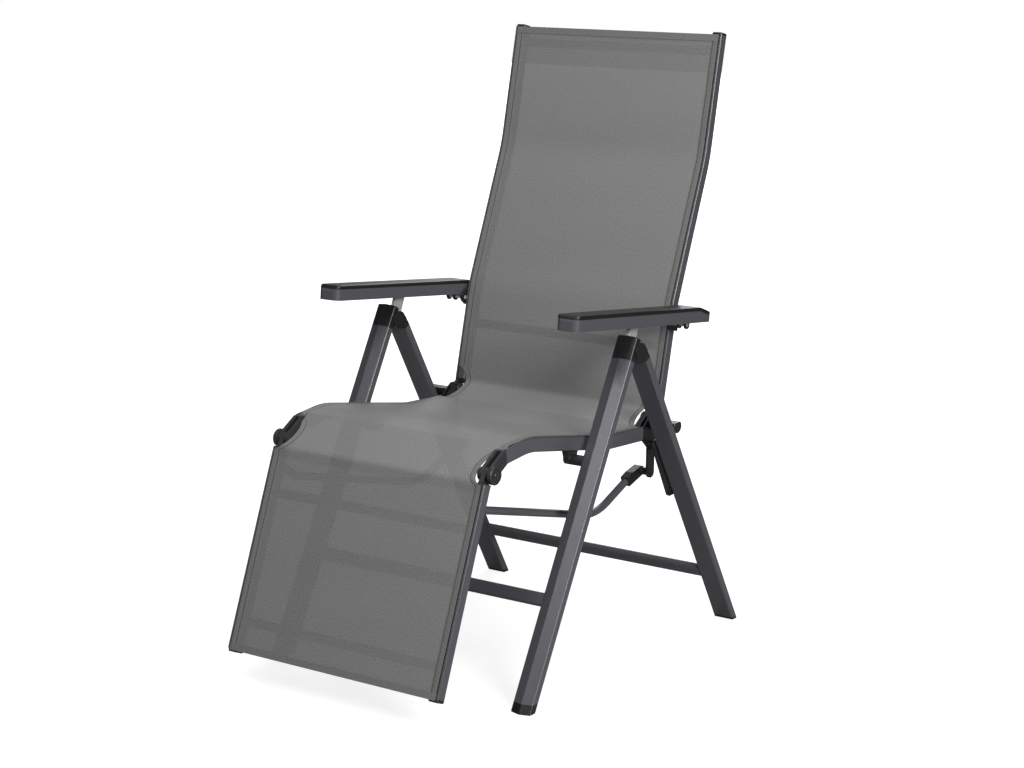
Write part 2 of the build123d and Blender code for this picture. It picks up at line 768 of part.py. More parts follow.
strut_low = (strut_low_y, strut_low_z)
strut_tail = (strut_tail_y, strut_tail_z)
sleeve = end_block(strut_tail, strut_low, -gap, fitting_long / 2, fitting_half)
tail_plane = along(strut_tail_y, strut_tail_z, strut_low_y, strut_low_z)
with BuildPart() as strut_fitting:
    add(web(fitting_in, fitting_wide, *sleeve, circles=[(lever_end_y, lever_end_z, fitting_half)]))
    with BuildSketch(tail_plane):
        with Locations((strut_mid, 0)):
            Circle(strut_r)
    extrude(amount=fitting_long, mode=Mode.SUBTRACT)
    with BuildSketch(axis_at(lever_end_y, lever_end_z, fitting_in)):
        Circle(strut_rivet_r + run)
    extrude(amount=fitting_wide, mode=Mode.SUBTRACT)
save_pair(strut_fitting.part, "strut_fittings")
with BuildPart() as strut_rivet:
    add(pin(lever_end_y, lever_end_z, strut_rivet_r, fitting_in - gap, lever_out - fitting_in + 2 * gap))
    add(pin(lever_end_y, lever_end_z, rivet_head_r, fitting_in - gap - rivet_head_thick, rivet_head_thick))
    add(pin(lever_end_y, lever_end_z, rivet_head_r, lever_out + gap, rivet_head_thick))
save_pair(strut_rivet.part, "strut_rivets")

# Armrests: open channels with a pad on top and a rack of notches inside
arm_way = (0, -cos(radians(arm_slope)), sin(radians(arm_slope)))
arm_up = Axis((0, arm_pivot_y, arm_pivot_z), (0, sin(radians(arm_slope)), cos(radians(arm_slope))))
arm_out = arm_in + arm_wide
arm_mid = arm_in + arm_wide / 2
arm_top = arm_rise + arm_high
arm_tail_top = arm_rise + arm_tail_high
arm_bend = arm_tail_long - arm_behind


def arm_plane(x):
    """Side plane of an armrest at its rear pivot: first axis along it to the front, second axis up."""
    return Plane(origin=(x, arm_pivot_y, arm_pivot_z), x_dir=arm_way, z_dir=(-1, 0, 0))


def arm_block(front_low, front_high, rear_low, rear_high):
    """Full-width block of the armrest between a lower and an upper line, with the bend of its tail."""
    with BuildPart() as block:
        with BuildSketch(arm_plane(arm_out)):
            with BuildLine():
                Polyline(
                    (-arm_behind, rear_low),
                    (arm_bend, front_low),
                    (arm_ahead, front_low),
                    (arm_ahead, front_high),
                    (arm_bend, front_high),
                    (-arm_behind, rear_high),
                    close=True,
                )
            make_face()
        extrude(amount=arm_wide)
    return block.part


def arm_plan(low, high):
    """Outline of the armrest from above, as a tall block with round corners."""
    middle = (arm_ahead - arm_behind) / 2
    face = arm_plane(arm_mid)
    base = face.origin + face.x_dir * middle + face.y_dir * low
    with BuildPart() as block:
        with BuildSketch(Plane(origin=base, x_dir=arm_way, z_dir=face.y_dir)):
            RectangleRounded(arm_ahead + arm_behind, arm_wide, arm_corner_r)
        extrude(amount=high - low)
    return block.part


with BuildPart() as arm_body:
    with BuildSketch(arm_plane(arm_out)):
        with BuildLine():
            Polyline(
                (-arm_behind, arm_rise),
                (arm_ahead, arm_rise),
                (arm_ahead, arm_top + pad_thick),
                (arm_bend, arm_top + pad_thick),
                (-arm_behind, arm_tail_top + pad_thick),
                close=True,
            )
        make_face()
    extrude(amount=arm_wide)
    nose = arm_body.edges().filter_by(Axis.X).sort_by(Axis((0, 0, 0), arm_way))
    fillet(nose[-2:].sort_by(Axis.Z)[-1], arm_nose_r)
    tail = arm_body.edges().filter_by(Axis.X).sort_by(Axis((0, 0, 0), arm_way))
    fillet(tail[0:2].sort_by(Axis.Z)[-1], arm_tail_r)
    add(arm_plan(-overrun, overrun), mode=Mode.INTERSECT)

with BuildPart() as arm_channel:
    add(arm_body.part)
    add(arm_block(arm_top, overrun, arm_tail_top, overrun), mode=Mode.SUBTRACT)
    with BuildSketch(arm_plane(arm_out - arm_wall)):
        with BuildLine():
            Polyline(
                (arm_end_wall - arm_behind, -overrun),
                (arm_ahead - arm_end_wall, -overrun),
                (arm_ahead - arm_end_wall, arm_top - arm_wall),
                (arm_bend, arm_top - arm_wall),
                (arm_end_wall - arm_behind, arm_tail_top - arm_wall / 2),
                close=True,
            )
        make_face()
    extrude(amount=arm_wide - 2 * arm_wall, mode=Mode.SUBTRACT)
save_sides(arm_channel.part, "armrest_channel")

with BuildPart() as arm_pad:
    add(arm_body.part)
    add(arm_block(-overrun, arm_top, -overrun, arm_tail_top), mode=Mode.SUBTRACT)
    fillet(arm_pad.faces().sort_by(arm_up)[-1].edges(), pad_round)
save_sides(arm_pad.part, "armrest_pad")

# Notch racks: the place of the pin in the armrest's own axes gives the first notch
pin_y = notch_pin_y - arm_pivot_y
pin_z = notch_pin_z - arm_pivot_z
first_notch = pin_y * arm_way[1] + pin_z * arm_way[2]
rack_top = arm_top - arm_wall
rack_points = [(first_notch - rack_lead, rack_top), (first_notch - rack_lead, arm_rise + rack_clear)]
for notch in range(notch_count):
    middle = first_notch + notch * notch_pitch
    rack_points.append((middle - notch_pitch / 2, arm_rise + rack_clear))
    rack_points.append((middle, rack_top - rack_base))
    rack_points.append((middle + notch_pitch / 4, arm_rise + rack_clear))
last_notch = first_notch + (notch_count - 1) * notch_pitch
rack_points.append((last_notch + rack_lead, arm_rise + rack_clear))
rack_points.append((last_notch + rack_lead, rack_top))
with BuildPart() as rack:
    for rack_x in (arm_out - arm_wall, arm_in + arm_wall + rack_wide):
        with BuildSketch(arm_plane(rack_x)):
            with BuildLine():
                Polyline(*rack_points, close=True)
            make_face()
        extrude(amount=rack_wide)
save_pair(rack.part, "notch_racks")

# Rear pivots of the armrests on brackets at the outside of the back rails
with BuildPart() as arm_lugs:
    for lug_x in (arm_mid + arm_lug_gap / 2 + arm_lug_wide, arm_mid - arm_lug_gap / 2):
        with BuildSketch(arm_plane(lug_x)):
            Circle(arm_lug_r)
            with Locations((0, rack_top - rack_base / 2)):
                Rectangle(2 * arm_lug_r, rack_base)
            make_hull()
            Circle(arm_pin_r + run, mode=Mode.SUBTRACT)
        extrude(amount=arm_lug_wide)
save_pair(arm_lugs.part, "armrest_lugs")

rail_by_arm = between(back_low, back_knee, arm_pivot_z)
arm_seat = end_block(
    (rail_by_arm, arm_pivot_z), back_knee, -arm_bracket_long / 2, arm_bracket_long / 2, half_rail
)
with BuildPart() as arm_bracket:
    add(web(rail_out, arm_bracket_thick, *arm_seat, circles=[(arm_pivot_y, arm_pivot_z, arm_bracket_r)]))
    with BuildSketch(axis_at(arm_pivot_y, arm_pivot_z, rail_out)):
        Circle(arm_pin_r + run)
    extrude(amount=arm_bracket_thick, mode=Mode.SUBTRACT)
save_pair(arm_bracket.part, "armrest_brackets")
lug_end = arm_mid + arm_lug_gap / 2 + arm_lug_wide
with BuildPart() as arm_pin:
    add(pin(arm_pivot_y, arm_pivot_z, arm_pin_r, rail_out + gap, lug_end - rail_out))
save_pair(arm_pin.part, "armrest_pins")


# Sling: one sheet of cloth in three stretches, on the front faces of the rails
def cloth_on(points, bend_r, above, trim_start, trim_end):
    """Thin sheet over both rails, along a path that is cut back at its two ends."""
    first = path_point(points[0][1:], points[1][1:], trim_start, 0)
    last = path_point(points[-1][1:], points[-2][1:], trim_end, 0)
    way = [(0, *first), *points[1:-1], (0, *last)]
    with BuildPart() as sheet:
        with BuildLine() as line:
            FilletPolyline(*way, radius=bend_r)
        with BuildSketch(path_start(way)):
            with Locations((0, -above - cloth_thick / 2)):
                Rectangle(2 * (rail_out - cloth_edge), cloth_thick)
        sweep(path=line.wires()[0])
    return sheet.part


seat_cloth = cloth_on(seat_path_points, seat_bend_r, seat_rail_tall / 2, seat_cloth_front, seat_cloth_rear)
save(seat_cloth, "seat_cloth")
save(cloth_on(back_path_points, back_bend_r, half_rail, back_cloth_low, back_cloth_top), "back_cloth")
with BuildPart() as foot_cloth:
    with BuildSketch(foot_plane.offset(foot_rail_start + seat_cloth_front)):
        with Locations((0, foot_rail_ahead + half_rail + cloth_thick / 2)):
            Rectangle(2 * (rail_out - cloth_edge), cloth_thick)
    extrude(amount=foot_rail_long - seat_cloth_front - foot_cloth_low)
save(foot_cloth.part, "foot_cloth")
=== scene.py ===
import json
import math

import bmesh
import bpy
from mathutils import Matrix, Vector


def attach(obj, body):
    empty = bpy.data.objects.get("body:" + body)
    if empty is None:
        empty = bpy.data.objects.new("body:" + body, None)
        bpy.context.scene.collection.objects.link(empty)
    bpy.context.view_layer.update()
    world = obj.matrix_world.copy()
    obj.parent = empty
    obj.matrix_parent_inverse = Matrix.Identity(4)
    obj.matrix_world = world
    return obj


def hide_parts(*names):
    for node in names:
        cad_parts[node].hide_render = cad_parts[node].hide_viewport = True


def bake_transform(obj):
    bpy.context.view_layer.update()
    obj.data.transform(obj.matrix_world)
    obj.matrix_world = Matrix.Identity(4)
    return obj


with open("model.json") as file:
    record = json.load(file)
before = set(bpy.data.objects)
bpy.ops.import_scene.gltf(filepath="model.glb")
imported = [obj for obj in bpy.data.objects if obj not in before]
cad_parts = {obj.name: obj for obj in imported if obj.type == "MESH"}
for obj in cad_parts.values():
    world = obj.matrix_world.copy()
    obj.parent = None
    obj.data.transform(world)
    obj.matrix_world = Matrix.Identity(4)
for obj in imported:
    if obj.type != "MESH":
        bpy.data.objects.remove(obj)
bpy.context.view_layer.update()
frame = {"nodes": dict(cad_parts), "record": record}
nodes = frame["nodes"]
print("frame loaded")


def socket(group, name, direction, kind, value=None):
    made = group.interface.new_socket(name=name, in_out=direction, socket_type=kind)
    if value is not None:
        made.default_value = value
    return made


def mathNode(tree, operation, first, second=None):
    node = tree.nodes.new("ShaderNodeMath")
    node.operation = operation
    for slot, value in enumerate((first, second)):
        if isinstance(value, (int, float)):
            node.inputs[slot].default_value = value
        elif value is not None:
            tree.links.new(value, node.inputs[slot])
    return node.outputs[0]


# Fine bumps, softened edges and a broad mottle, for coated metal and plastic
def makeGrain():
    group = bpy.data.node_groups.new("grain", "ShaderNodeTree")
    socket(group, "Scale", "INPUT", "NodeSocketFloat", 900.0)
    socket(group, "Depth", "INPUT", "NodeSocketFloat", 0.1)
    socket(group, "Edge", "INPUT", "NodeSocketFloat", 0.0006)
    socket(group, "Normal", "OUTPUT", "NodeSocketVector")
    socket(group, "Shade", "OUTPUT", "NodeSocketFloat")
    start = group.nodes.new("NodeGroupInput")
    end = group.nodes.new("NodeGroupOutput")
    place = group.nodes.new("ShaderNodeTexCoord")
    fine = group.nodes.new("ShaderNodeTexNoise")
    fine.inputs["Detail"].default_value = 2.0
    broad = group.nodes.new("ShaderNodeTexNoise")
    broad.inputs["Scale"].default_value = 9.0
    broad.inputs["Detail"].default_value = 3.0
    bevel = group.nodes.new("ShaderNodeBevel")
    bevel.samples = 4
    bump = group.nodes.new("ShaderNodeBump")
    bump.inputs["Distance"].default_value = 0.0002
    link = group.links.new
    link(place.outputs["Object"], fine.inputs["Vector"])
    link(place.outputs["Object"], broad.inputs["Vector"])
    link(start.outputs["Scale"], fine.inputs["Scale"])
    link(start.outputs["Edge"], bevel.inputs["Radius"])
    link(start.outputs["Depth"], bump.inputs["Strength"])
    link(fine.outputs["Fac"], bump.inputs["Height"])
    link(bevel.outputs["Normal"], bump.inputs["Normal"])
    link(bump.outputs["Normal"], end.inputs["Normal"])
    link(broad.outputs["Fac"], end.inputs["Shade"])
    return group


threads = {"patchScale": 420.0, "patchPull": 2.4, "crossPull": 0.35, "dark": 0.5, "light": 1.5}


# Threads of an open weave on the UV map, which is in metres on the cloth, and the gaps between them
def makeWeave():
    group = bpy.data.node_groups.new("weave", "ShaderNodeTree")
    socket(group, "Pitch", "INPUT", "NodeSocketFloat", 0.0021)
    socket(group, "Open", "INPUT", "NodeSocketFloat", 0.08)
    socket(group, "Thread", "OUTPUT", "NodeSocketFloat")
    socket(group, "Gap", "OUTPUT", "NodeSocketFloat")
    start = group.nodes.new("NodeGroupInput")
    end = group.nodes.new("NodeGroupOutput")
    place = group.nodes.new("ShaderNodeUVMap")
    split = group.nodes.new("ShaderNodeSeparateXYZ")
    patch = group.nodes.new("ShaderNodeTexNoise")
    patch.inputs["Scale"].default_value = threads["patchScale"]
    patch.inputs["Detail"].default_value = 2.0
    link = group.links.new
    link(place.outputs["UV"], split.inputs[0])
    link(place.outputs["UV"], patch.inputs["Vector"])
    turn = mathNode(group, "DIVIDE", 2 * math.pi, start.outputs["Pitch"])
    across = mathNode(group, "SINE", mathNode(group, "MULTIPLY", split.outputs[0], turn))
    along = mathNode(group, "SINE", mathNode(group, "MULTIPLY", split.outputs[1], turn))
    cross = mathNode(group, "MULTIPLY", across, along)
    uneven = mathNode(group, "SUBTRACT", patch.outputs["Fac"], 0.5)
    rough = mathNode(group, "MULTIPLY", uneven, threads["patchPull"])
    thread = mathNode(group, "ADD", mathNode(group, "MULTIPLY", cross, threads["crossPull"]), rough)
    hole = mathNode(group, "MULTIPLY", mathNode(group, "SUBTRACT", 1.0, thread), start.outputs["Open"])
    link(thread, end.inputs["Thread"])
    link(hole, end.inputs["Gap"])
    return group


grain = makeGrain()
weave = makeWeave()


def coated(name, color, roughness, metallic=0.0, scale=900.0, depth=0.1, edge=0.0006, mottle=0.1):
    material = bpy.data.materials.new(name)
    material.use_nodes = True
    tree = material.node_tree
    body = tree.nodes["Principled BSDF"]
    body.inputs["Roughness"].default_value = roughness
    body.inputs["Metallic"].default_value = metallic
    skin = tree.nodes.new("ShaderNodeGroup")
    skin.node_tree = grain
    skin.inputs["Scale"].default_value = scale
    skin.inputs["Depth"].default_value = depth
    skin.inputs["Edge"].default_value = edge
    tint = tree.nodes.new("ShaderNodeMix")
    tint.data_type = "RGBA"
    tint.inputs[6].default_value = (*[c * (1 - mottle) for c in color], 1)
    tint.inputs[7].default_value = (*[c * (1 + mottle) for c in color], 1)
    tree.links.new(skin.outputs["Shade"], tint.inputs[0])
    tree.links.new(tint.outputs[2], body.inputs["Base Color"])
    tree.links.new(skin.outputs["Normal"], body.inputs["Normal"])
    return material


def woven(name, color, openShare):
    material = bpy.data.materials.new(name)
    material.use_nodes = True
    tree = material.node_tree
    link = tree.links.new
    body = tree.nodes["Principled BSDF"]
    body.inputs["Roughness"].default_value = 0.62
    body.inputs["Specular IOR Level"].default_value = 0.35
    cloth = tree.nodes.new("ShaderNodeGroup")
    cloth.node_tree = weave
    cloth.inputs["Open"].default_value = openShare
    tint = tree.nodes.new("ShaderNodeMix")
    tint.data_type = "RGBA"
    tint.inputs[6].default_value = (*[c * threads["dark"] for c in color], 1)
    tint.inputs[7].default_value = (*[c * threads["light"] for c in color], 1)
    thread = mathNode(tree, "MULTIPLY", cloth.outputs["Thread"], 0.5)
    link(mathNode(tree, "ADD", thread, 0.5), tint.inputs[0])
    link(tint.outputs[2], body.inputs["Base Color"])
    bump = tree.nodes.new("ShaderNodeBump")
    bump.inputs["Strength"].default_value = 0.35
    bump.inputs["Distance"].default_value = 0.0003
    link(cloth.outputs["Thread"], bump.inputs["Height"])
    link(bump.outputs["Normal"], body.inputs["Normal"])
    clear = tree.nodes.new("ShaderNodeBsdfTransparent")
    mix = tree.nodes.new("ShaderNodeMixShader")
    link(cloth.outputs["Gap"], mix.inputs[0])
    link(body.outputs[0], mix.inputs[1])
    link(clear.outputs[0], mix.inputs[2])
    link(mix.outputs[0], tree.nodes["Material Output"].inputs["Surface"])
    return material


finish = {
    "frame": coated("frameCoat", (0.07, 0.071, 0.081), 0.33, depth=0.12, mottle=0.06),
    "black_plastic": coated(
        "blackPlastic", (0.007, 0.007, 0.0075), 0.4, scale=1400.0, depth=0.2, edge=0.0008
    ),
    "armrest_pads": coated(
        "padPlastic", (0.006, 0.006, 0.0065), 0.38, scale=700.0, depth=0.35, edge=0.0014
    ),
    "black_steel": coated("blackSteel", (0.02, 0.02, 0.022), 0.38, edge=0.0005),
    "steel": coated("steel", (0.72, 0.72, 0.7), 0.42, metallic=0.7, scale=260.0, depth=0.15, edge=0.0004),
    "cloth": woven("slingCloth", (0.15, 0.149, 0.148), 0.017),
}
hemCloth = woven("hemCloth", (0.138, 0.137, 0.136), 0.0)
# Darker seam line: partly the stitching, partly painted shade at the step of the raised hem
seamStitchAndShade = woven("seamStitchAndShade", (0.052, 0.052, 0.053), 0.0)
# Black plastic of the hinge parts, lighter than the rest: partly their own greyer tone, partly painted
# light for the key light that greys the knuckles on the lit side
hingeToneAndLight = coated("hingeToneAndLight", (0.021, 0.021, 0.022), 0.45, scale=1400.0, depth=0.2, edge=0.001)
hingeNodes = ("front_hinge_bolts", "foot_knuckles", "seat_front_forks", "seat_pivot_brackets")
# Near-black matt paint used as painted shade, for the rails' slots and the knobs' grooves
paintedShade = coated("paintedShade", (0.006, 0.006, 0.006), 0.8, depth=0.0)

for name, node in nodes.items():
    subpart = next(s for s in frame["record"]["subparts"] if s["node"] == name)
    node.data.materials.clear()
    node.data.materials.append(hingeToneAndLight if name in hingeNodes else finish[subpart["material_slot"]])
print("materials set")

# Paths of the side view in metres, taken from the pivots and rail lines of the part
backPath = {
    "points": [(0.2275, 0.434), (0.2715, 0.614), (0.376, 0.872), (0.426, 1.094)],
    "bend": 0.3,
}
seatPath = {
    "points": [(-0.2455, 0.4345), (-0.176, 0.4425), (0.062, 0.401), (0.1695, 0.396)],
    "bend": 0.15,
}
footPath = {
    "hinge": (-0.285, 0.412),
    "tilt": math.radians(21),
    "face": 0.0163,
    "start": 0.0183,
    "end": 0.3763,
    "capEnd": 0.3818,
}
rails = {"half": 0.01, "seatHalf": 0.0125}


# Points along a polyline with its inner corners rounded
def rounded(points, bend, step=0.004):
    out = [Vector(points[0])]
    for before, corner, after in zip(points, points[1:], points[2:]):
        here = Vector(corner)
        towardStart = (Vector(before) - here).normalized()
        towardEnd = (Vector(after) - here).normalized()
        half = towardStart.angle(towardEnd) / 2
        reach = bend / math.tan(half)
        centre = here + (towardStart + towardEnd).normalized() * (bend / math.sin(half))
        first = here + towardStart * reach
        last = here + towardEnd * reach
        sweep = (first - centre).angle(last - centre)
        count = max(3, int(sweep * bend / step))
        for i in range(count + 1):
            turn = i / count
            a = (first - centre) * (math.sin((1 - turn) * sweep) / math.sin(sweep))
            b = (last - centre) * (math.sin(turn * sweep) / math.sin(sweep))
            out.append(centre + a + b)
    out.append(Vector(points[-1]))
    return even(out, step)


# The same line with even spacing
def even(points, step):
    lengths = [0.0]
    for a, b in zip(points, points[1:]):
        lengths.append(lengths[-1] + (b - a).length)
    count = max(2, round(lengths[-1] / step))
    out = []
    k = 0
    for i in range(count + 1):
        want = lengths[-1] * i / count
        while k < len(points) - 2 and lengths[k + 1] < want:
            k += 1
        span = lengths[k + 1] - lengths[k]
        out.append(points[k].lerp(points[k + 1], (want - lengths[k]) / span if span else 0))
    return out


# The line shifted to its left side
def offsetLine(points, amount):
    out = []
    for i, p in enumerate(points):
        way = (points[min(i + 1, len(points) - 1)] - points[max(i - 1, 0)]).normalized()
        out.append(p + Vector((-way.y, way.x)) * amount)
    return out


def footPoint(down, ahead):
    s, c = math.sin(footPath["tilt"]), math.cos(footPath["tilt"])
    y, z = footPath["hinge"]
    return Vector((y - s * down - c * ahead, z - c * down + s * ahead))


def makeMesh(name, build, material, smooth=True):
    mesh = bpy.data.meshes.new(name)
    bm = bmesh.new()
    build(bm)
    bmesh.ops.recalc_face_normals(bm, faces=bm.faces)
    bm.to_mesh(mesh)
    bm.free()
    mesh.materials.append(material)
    for polygon in mesh.polygons:
        polygon.use_smooth = smooth
    thing = bpy.data.objects.new(name, mesh)
    bpy.context.scene.collection.objects.link(thing)
    return thing


# The sling runs in one line from the top hem of the back to the bottom hem of the footrest
cloth = {
    "up": 0.0006,
    "halfWidth": 0.2256,
    "step": 0.0025,
    "bendStep": 0.002,
    "backFrom": 0.468,
    "rear": (0.2175, 0.432),
    "rearBend": 0.012,
    "seatMeets": (0.166, 0.4092),
    "seatRear": 0.16,
    "seatMiddle": (0.0, 0.42),
    "seatFront": -0.205,
    "front": (-0.27, 0.427),
    "frontCorners": [(-0.232, 0.4513), (-0.3085, 0.4045)],
    "frontBend": 0.016,
    "footFrom": 0.034,
    "footShort": 0.003,
    "rearScallop": {"at": (0.2015, 0.4235), "long": 0.044, "deep": 0.0226},
    "frontScallop": {"at": (-0.279, 0.4215), "long": 0.04, "deep": 0.0226},
}
backFace = offsetLine(rounded(backPath["points"], backPath["bend"]), rails["half"] + cloth["up"])
seatFace = offsetLine(rounded(seatPath["points"], seatPath["bend"]), rails["seatHalf"] + cloth["up"])
footReach = (cloth["footFrom"], footPath["capEnd"] - cloth["footShort"])
footFace = [footPoint(d, footPath["face"] + cloth["up"]) for d in footReach]
slingLine = [p for p in reversed(backFace) if p.y > cloth["backFrom"]]
rearTurn = [slingLine[-1], Vector(cloth["rear"]), Vector(cloth["seatMeets"])]
slingLine += rounded(rearTurn, cloth["rearBend"], cloth["bendStep"])[1:]
slingLine += [p for p in reversed(seatFace) if cloth["seatFront"] < p.x < cloth["seatRear"]]
frontTurn = [slingLine[-1], *[Vector(p) for p in cloth["frontCorners"]], footFace[0]]
slingLine += rounded(frontTurn, cloth["frontBend"], cloth["bendStep"])[1:]
slingLine = even(slingLine + footFace, cloth["step"])
arc = [0.0]
for a, b in zip(slingLine, slingLine[1:]):
    arc.append(arc[-1] + (b - a).length)


def nearest(point):
    spot = Vector(point)
    return min(range(len(slingLine)), key=lambda i: (slingLine[i] - spot).length)


scallops = []
for cutOut in (cloth["rearScallop"], cloth["frontScallop"]):
    scallops.append((arc[nearest(cutOut["at"])], cutOut["long"], cutOut["deep"]))


# Half of the sling's width at a length along it, with the cut-outs at the hinges
def halfWidth(s):
    width = cloth["halfWidth"]
    for at, long, deep in scallops:
        t = (s - at) / long
        if abs(t) < 1:
            width -= deep * math.sqrt(1 - t * t)
    return width


seatHang = {"middle": arc[nearest(cloth["seatMiddle"])], "reach": 0.19, "deep": 0.006}
# Height, waves per metre of arc in radians, slant across the cloth and start of each ripple
ripples = [(0.0004, 31, 1.3, 0), (0.0003, 57, 2.1, 1)]


# How far the cloth hangs below the rails' faces, with its soft ripples
def sag(s, u):
    share = max(0.0, 1 - abs(s - seatHang["middle"]) / seatHang["reach"])
    middle = max(0.0, 1 - u * u)
    ripple = sum(high * math.sin(s * wave + slant * u + start) for high, wave, slant, start in ripples)
    return (seatHang["deep"] * share * share * (3 - 2 * share) + ripple) * middle


hemBand = {"wide": 0.0118, "seam": 0.0016, "raised": 0.0005}
innerColumns = 88


# Places across the sling, and how much of the hem's height each has
def columnPlaces(width):
    inner = width - hemBand["wide"]
    side = [width, inner + hemBand["seam"], inner]
    middle = [inner * (1 - 2 * j / innerColumns) for j in range(1, innerColumns)]
    lifts = [1.0, 1.0, 0.0]
    places = side + middle + [-x for x in reversed(side)]
    return places, lifts + [0.0] * len(middle) + lifts[::-1]


def slingPiece(name, first, last):
    rows = list(range(first, last + 1))

    def build(bm):
        uv = bm.loops.layers.uv.new("UVMap")
        grid = []
        for i in rows:
            p = slingLine[i]
            way = (slingLine[min(i + 1, len(slingLine) - 1)] - slingLine[max(i - 1, 0)]).normalized()
            outward = Vector((way.y, -way.x))
            width = halfWidth(arc[i])
            row = []
            for x, lift in zip(*columnPlaces(width)):
                q = p + outward * (hemBand["raised"] * lift - sag(arc[i], x / width))
                row.append(bm.verts.new((x, q.x, q.y)))
            grid.append(row)
        columns = len(grid[0]) - 1
        for r in range(len(rows) - 1):
            for c in range(columns):
                spots = [(c, r), (c + 1, r), (c + 1, r + 1), (c, r + 1)]
                face = bm.faces.new([grid[rr][cc] for cc, rr in spots])
                # Cloth in the middle, then the seam, darkened for its stitching and with painted shade of
                # the hem's step, and the hem at the edges
                face.material_index = 1 if c in (1, columns - 2) else 2 if c in (0, columns - 1) else 0
                for loop, (cc, rr) in zip(face.loops, spots):
                    loop[uv].uv = (grid[rr][cc].co.x, arc[rows[rr]])

    piece = makeMesh(name, build, finish["cloth"])
    piece.data.materials.append(seamStitchAndShade)
    piece.data.materials.append(hemCloth)
    area = sum((halfWidth(arc[i]) + halfWidth(arc[i + 1])) * (arc[i + 1] - arc[i]) for i in rows[:-1])
    length = arc[rows[-1]] - arc[rows[0]]
    return piece, (2 * cloth["halfWidth"], length), area


cutRear = nearest(cloth["rear"])
cutFront = nearest(cloth["front"])
lastRow = len(slingLine) - 1
slingBack, backFlat, backArea = slingPiece("slingBack", 0, cutRear)
slingSeat, seatFlat, seatArea = slingPiece("slingSeat", cutRear, cutFront)
slingFoot, footFlat, footArea = slingPiece("slingFootrest", cutFront, lastRow)


# A flat bar along a stretch of the side view, on both sides of the chair if xLow is above 0
def strip(name, line, xLow, xHigh, low, high, material):
    below = offsetLine(line, low)
    above = offsetLine(line, high)

    def build(bm):
        uv = bm.loops.layers.uv.new("UVMap")
        for sign in ((1, -1) if xLow > 0 else (1,)):
            rings = []
            for a, b in zip(below, above):
                rings.append([(sign * xLow, *a), (sign * xHigh, *a), (sign * xHigh, *b), (sign * xLow, *b)])
            start = [bm.verts.new(corner) for corner in rings[0]]
            end = bm.faces.new(start)
            for ring in rings[1:]:
                end = bmesh.ops.extrude_discrete_faces(bm, faces=[end])["faces"][0]
                for vert, corner in zip(end.verts, ring):
                    vert.co = corner
            bm.faces.new(start)  # the extrusion takes the first face away
        for face in bm.faces:
            for loop in face.loops:
                loop[uv].uv = (loop.vert.co.x, loop.vert.co.z + loop.vert.co.y)

    return makeMesh(name, build, material, smooth=False)


def hem(name, first, last, low, high):
    line = slingLine[first:last + 1]
    width = cloth["halfWidth"]
    piece = strip(name, line, -width, width, low, high, hemCloth)
    return piece


endHem = {"rows": 5, "low": -0.0009, "high": 0.0004}
topHem = hem("topHem", 0, endHem["rows"], endHem["low"], endHem["high"])
bottomHem = hem("bottomHem", lastRow - endHem["rows"], lastRow, endHem["low"], endHem["high"])
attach(topHem, "backrest")
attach(bottomHem, "footrest")

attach(slingSeat, "frame")
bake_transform(slingBack)
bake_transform(slingFoot)
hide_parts("back_cloth")
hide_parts("seat_cloth")
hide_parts("foot_cloth")
print("sling made")

# Lips along the rails' faces, and beside them flat near-black strips of painted shade standing for the
# slots where the cloth's edge is held
lip = {"slotIn": 0.2252, "slotOut": 0.2276, "out": 0.2300, "high": 0.0011, "shadeHigh": 0.0002}
backRail = offsetLine(rounded(backPath["points"], backPath["bend"]), rails["half"])
seatRail = offsetLine(rounded(seatPath["points"], seatPath["bend"]), rails["seatHalf"])
footRail = [footPoint(d, footPath["face"]) for d in (footPath["start"], footPath["end"])]
for label, line, body, way in (("back", backRail, "backrest", 1), ("seat", seatRail, "frame", 1),
                               ("footrest", footRail, "footrest", -1)):
    low, shadeTop, lipTop = way * -lip["shadeHigh"], way * lip["shadeHigh"], way * lip["high"]
    slotShadeStrip = strip(f"{label}SlotShade", line, lip["slotIn"], lip["slotOut"], low, shadeTop, paintedShade)
    lipStrip = strip(f"{label}Lip", line, lip["slotOut"], lip["out"], low, lipTop, finish["frame"])
    for piece in (slotShadeStrip, lipStrip):
        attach(piece, body)
print("rail lips made")

# Knobs of the front hinges: a ring of painted shade standing for the groove, and a bolt head in the middle,
# on the face of the part's knob
knob = {"face": 0.2383, "grooveIn": 0.0092, "grooveOut": 0.0112, "proud": 0.0003, "sunk": -0.001}
bolt = {"radius": 0.0058, "high": 0.0018, "edge": 0.0008, "dimple": 0.0026, "dimpleFloor": 0.0012,
        "dimpleDeep": 0.0009}


# A ring on both knobs, spun from an outline of pairs: distance out from the face, and radius
def turned(name, place, outline, material, steps=48):
    def build(bm):
        for sign in (1, -1):
            verts = []
            for out, radius in outline:
                verts.append(bm.verts.new((sign * (knob["face"] + out), place[0] + radius, place[1])))
            edges = [bm.edges.new(pair) for pair in zip(verts, verts[1:] + verts[:1])]
            bmesh.ops.spin(bm, geom=verts + edges, cent=(0, *place), axis=(1, 0, 0),
                           angle=2 * math.pi, steps=steps, use_merge=True)

    return makeMesh(name, build, material, smooth=False)


# Outline of the ring painted near-black as painted shade in the groove
grooveShade = [(knob["sunk"], knob["grooveIn"]), (knob["sunk"], knob["grooveOut"]),
          (knob["proud"], knob["grooveOut"]), (knob["proud"], knob["grooveIn"])]
head = [(knob["sunk"], bolt["dimpleFloor"]), (knob["sunk"], bolt["radius"]),
        (bolt["high"] - bolt["edge"], bolt["radius"]), (bolt["high"], bolt["radius"] - bolt["edge"]),
        (bolt["high"], bolt["dimple"]), (bolt["high"] - bolt["dimpleDeep"], bolt["dimpleFloor"])]
for piece in (turned("knobGrooveShade", footPath["hinge"], grooveShade, paintedShade),
              turned("knobHeads", footPath["hinge"], head, finish["black_steel"])):
    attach(piece, "frame")
print("knobs made")

